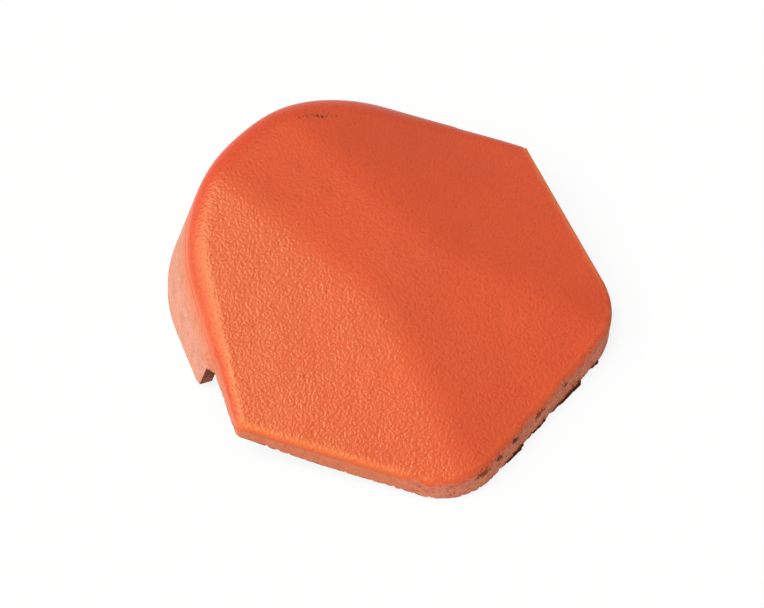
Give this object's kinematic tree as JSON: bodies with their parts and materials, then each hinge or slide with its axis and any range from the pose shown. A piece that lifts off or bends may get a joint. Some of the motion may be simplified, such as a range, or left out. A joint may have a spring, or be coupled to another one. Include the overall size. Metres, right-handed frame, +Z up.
{
  "type": "ridge cap",
  "caption": "One-piece cast concrete roof ridge cap with a round nose, folded crown, shallow lip and deep nose skirt, painted orange-red.",
  "frame": {"origin": "centre of the footprint, on the floor the cap lies on", "axes": "+Y from the straight front edge toward the round nose, +Z up, X across the two shoulder corners"},
  "size_m": [0.422, 0.4156, 0.1222],
  "materials": {
    "painted_concrete": "matte"
  },
  "bodies": {
    "root": {"ridge_cap": "painted_concrete"}
  },
  "joints": []
}
